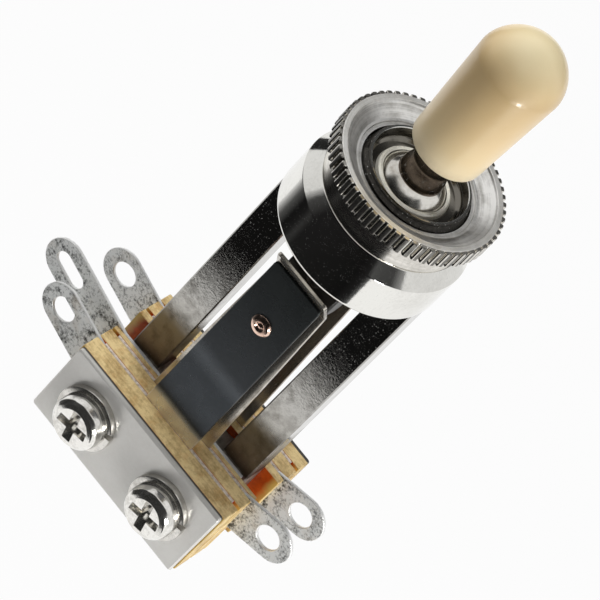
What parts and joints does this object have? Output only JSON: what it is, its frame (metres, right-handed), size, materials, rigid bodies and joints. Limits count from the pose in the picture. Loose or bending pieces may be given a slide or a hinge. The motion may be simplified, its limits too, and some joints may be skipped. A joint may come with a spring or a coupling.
{
  "type": "panel toggle switch",
  "caption": "Panel toggle switch: an ivory-tipped lever in a threaded bushing with a knurled dress nut works spring contact leaves clamped in an insulated stack on a flat frame.",
  "frame": {"origin": "centre of the flat shoulder that meets the back of the panel", "axes": "+Z out of the panel along the upright lever, -Y towards the front plate and the screw heads, +X to the right seen from the front"},
  "size_m": [0.04, 0.0202, 0.0727],
  "materials": {
    "can_nickel": "polished nickel plate",
    "nut_nickel": "polished nickel plate with a turned dish",
    "frame_nickel": "grainy nickel plate",
    "lever_nickel": "nickel plate",
    "pin_steel": "ground steel",
    "cam_phenolic": "dull black moulding",
    "tip_ivory": "glossy ivory moulding",
    "plate_steel": "satin nickel plate",
    "spacer_phenolic": "paper phenolic with tan cut edges",
    "outer_leaf_steel": "rolled spring sheet",
    "inner_leaf_steel": "rolled spring sheet",
    "lug_tin": "dull tinned sheet",
    "contact_copper": "polished copper alloy",
    "sleeve_paper": "varnished paper tube",
    "washer_steel": "plated spring steel",
    "screw_nickel": "bright plated steel"
  },
  "bodies": {
    "switch": {"housing": "can_nickel", "frame": "frame_nickel", "dress_nut": "nut_nickel", "pivot_pin": "pin_steel", "front_plate": "plate_steel", "rear_plate": "plate_steel", "spacer_front_outer": "spacer_phenolic", "spacer_front_middle": "spacer_phenolic", "spacer_front_inner": "spacer_phenolic", "spacer_rear_inner": "spacer_phenolic", "spacer_rear_middle": "spacer_phenolic", "spacer_rear_outer": "spacer_phenolic", "leaf_front_outer": "outer_leaf_steel", "leaf_front_inner": "inner_leaf_steel", "leaf_rear_inner": "inner_leaf_steel", "leaf_rear_outer": "outer_leaf_steel", "contact_front_outer": "contact_copper", "contact_front_inner": "contact_copper", "contact_rear_inner": "contact_copper", "contact_rear_outer": "contact_copper", "ground_lug": "lug_tin", "sleeve_left": "sleeve_paper", "sleeve_right": "sleeve_paper", "lock_washer_left": "washer_steel", "lock_washer_right": "washer_steel", "screw_left": "screw_nickel", "screw_right": "screw_nickel"},
    "lever": {"lever": "lever_nickel", "cam": "cam_phenolic", "tip": "tip_ivory"}
  },
  "joints": [
    {"name": "lever_throw", "type": "hinge", "parent": "switch", "child": "lever", "pos_m": [0, 0, 0.0008], "axis": [1, 0, 0], "range_deg": [-12, 12], "deforming": ["leaf_front_inner", "leaf_rear_inner"]}
  ]
}
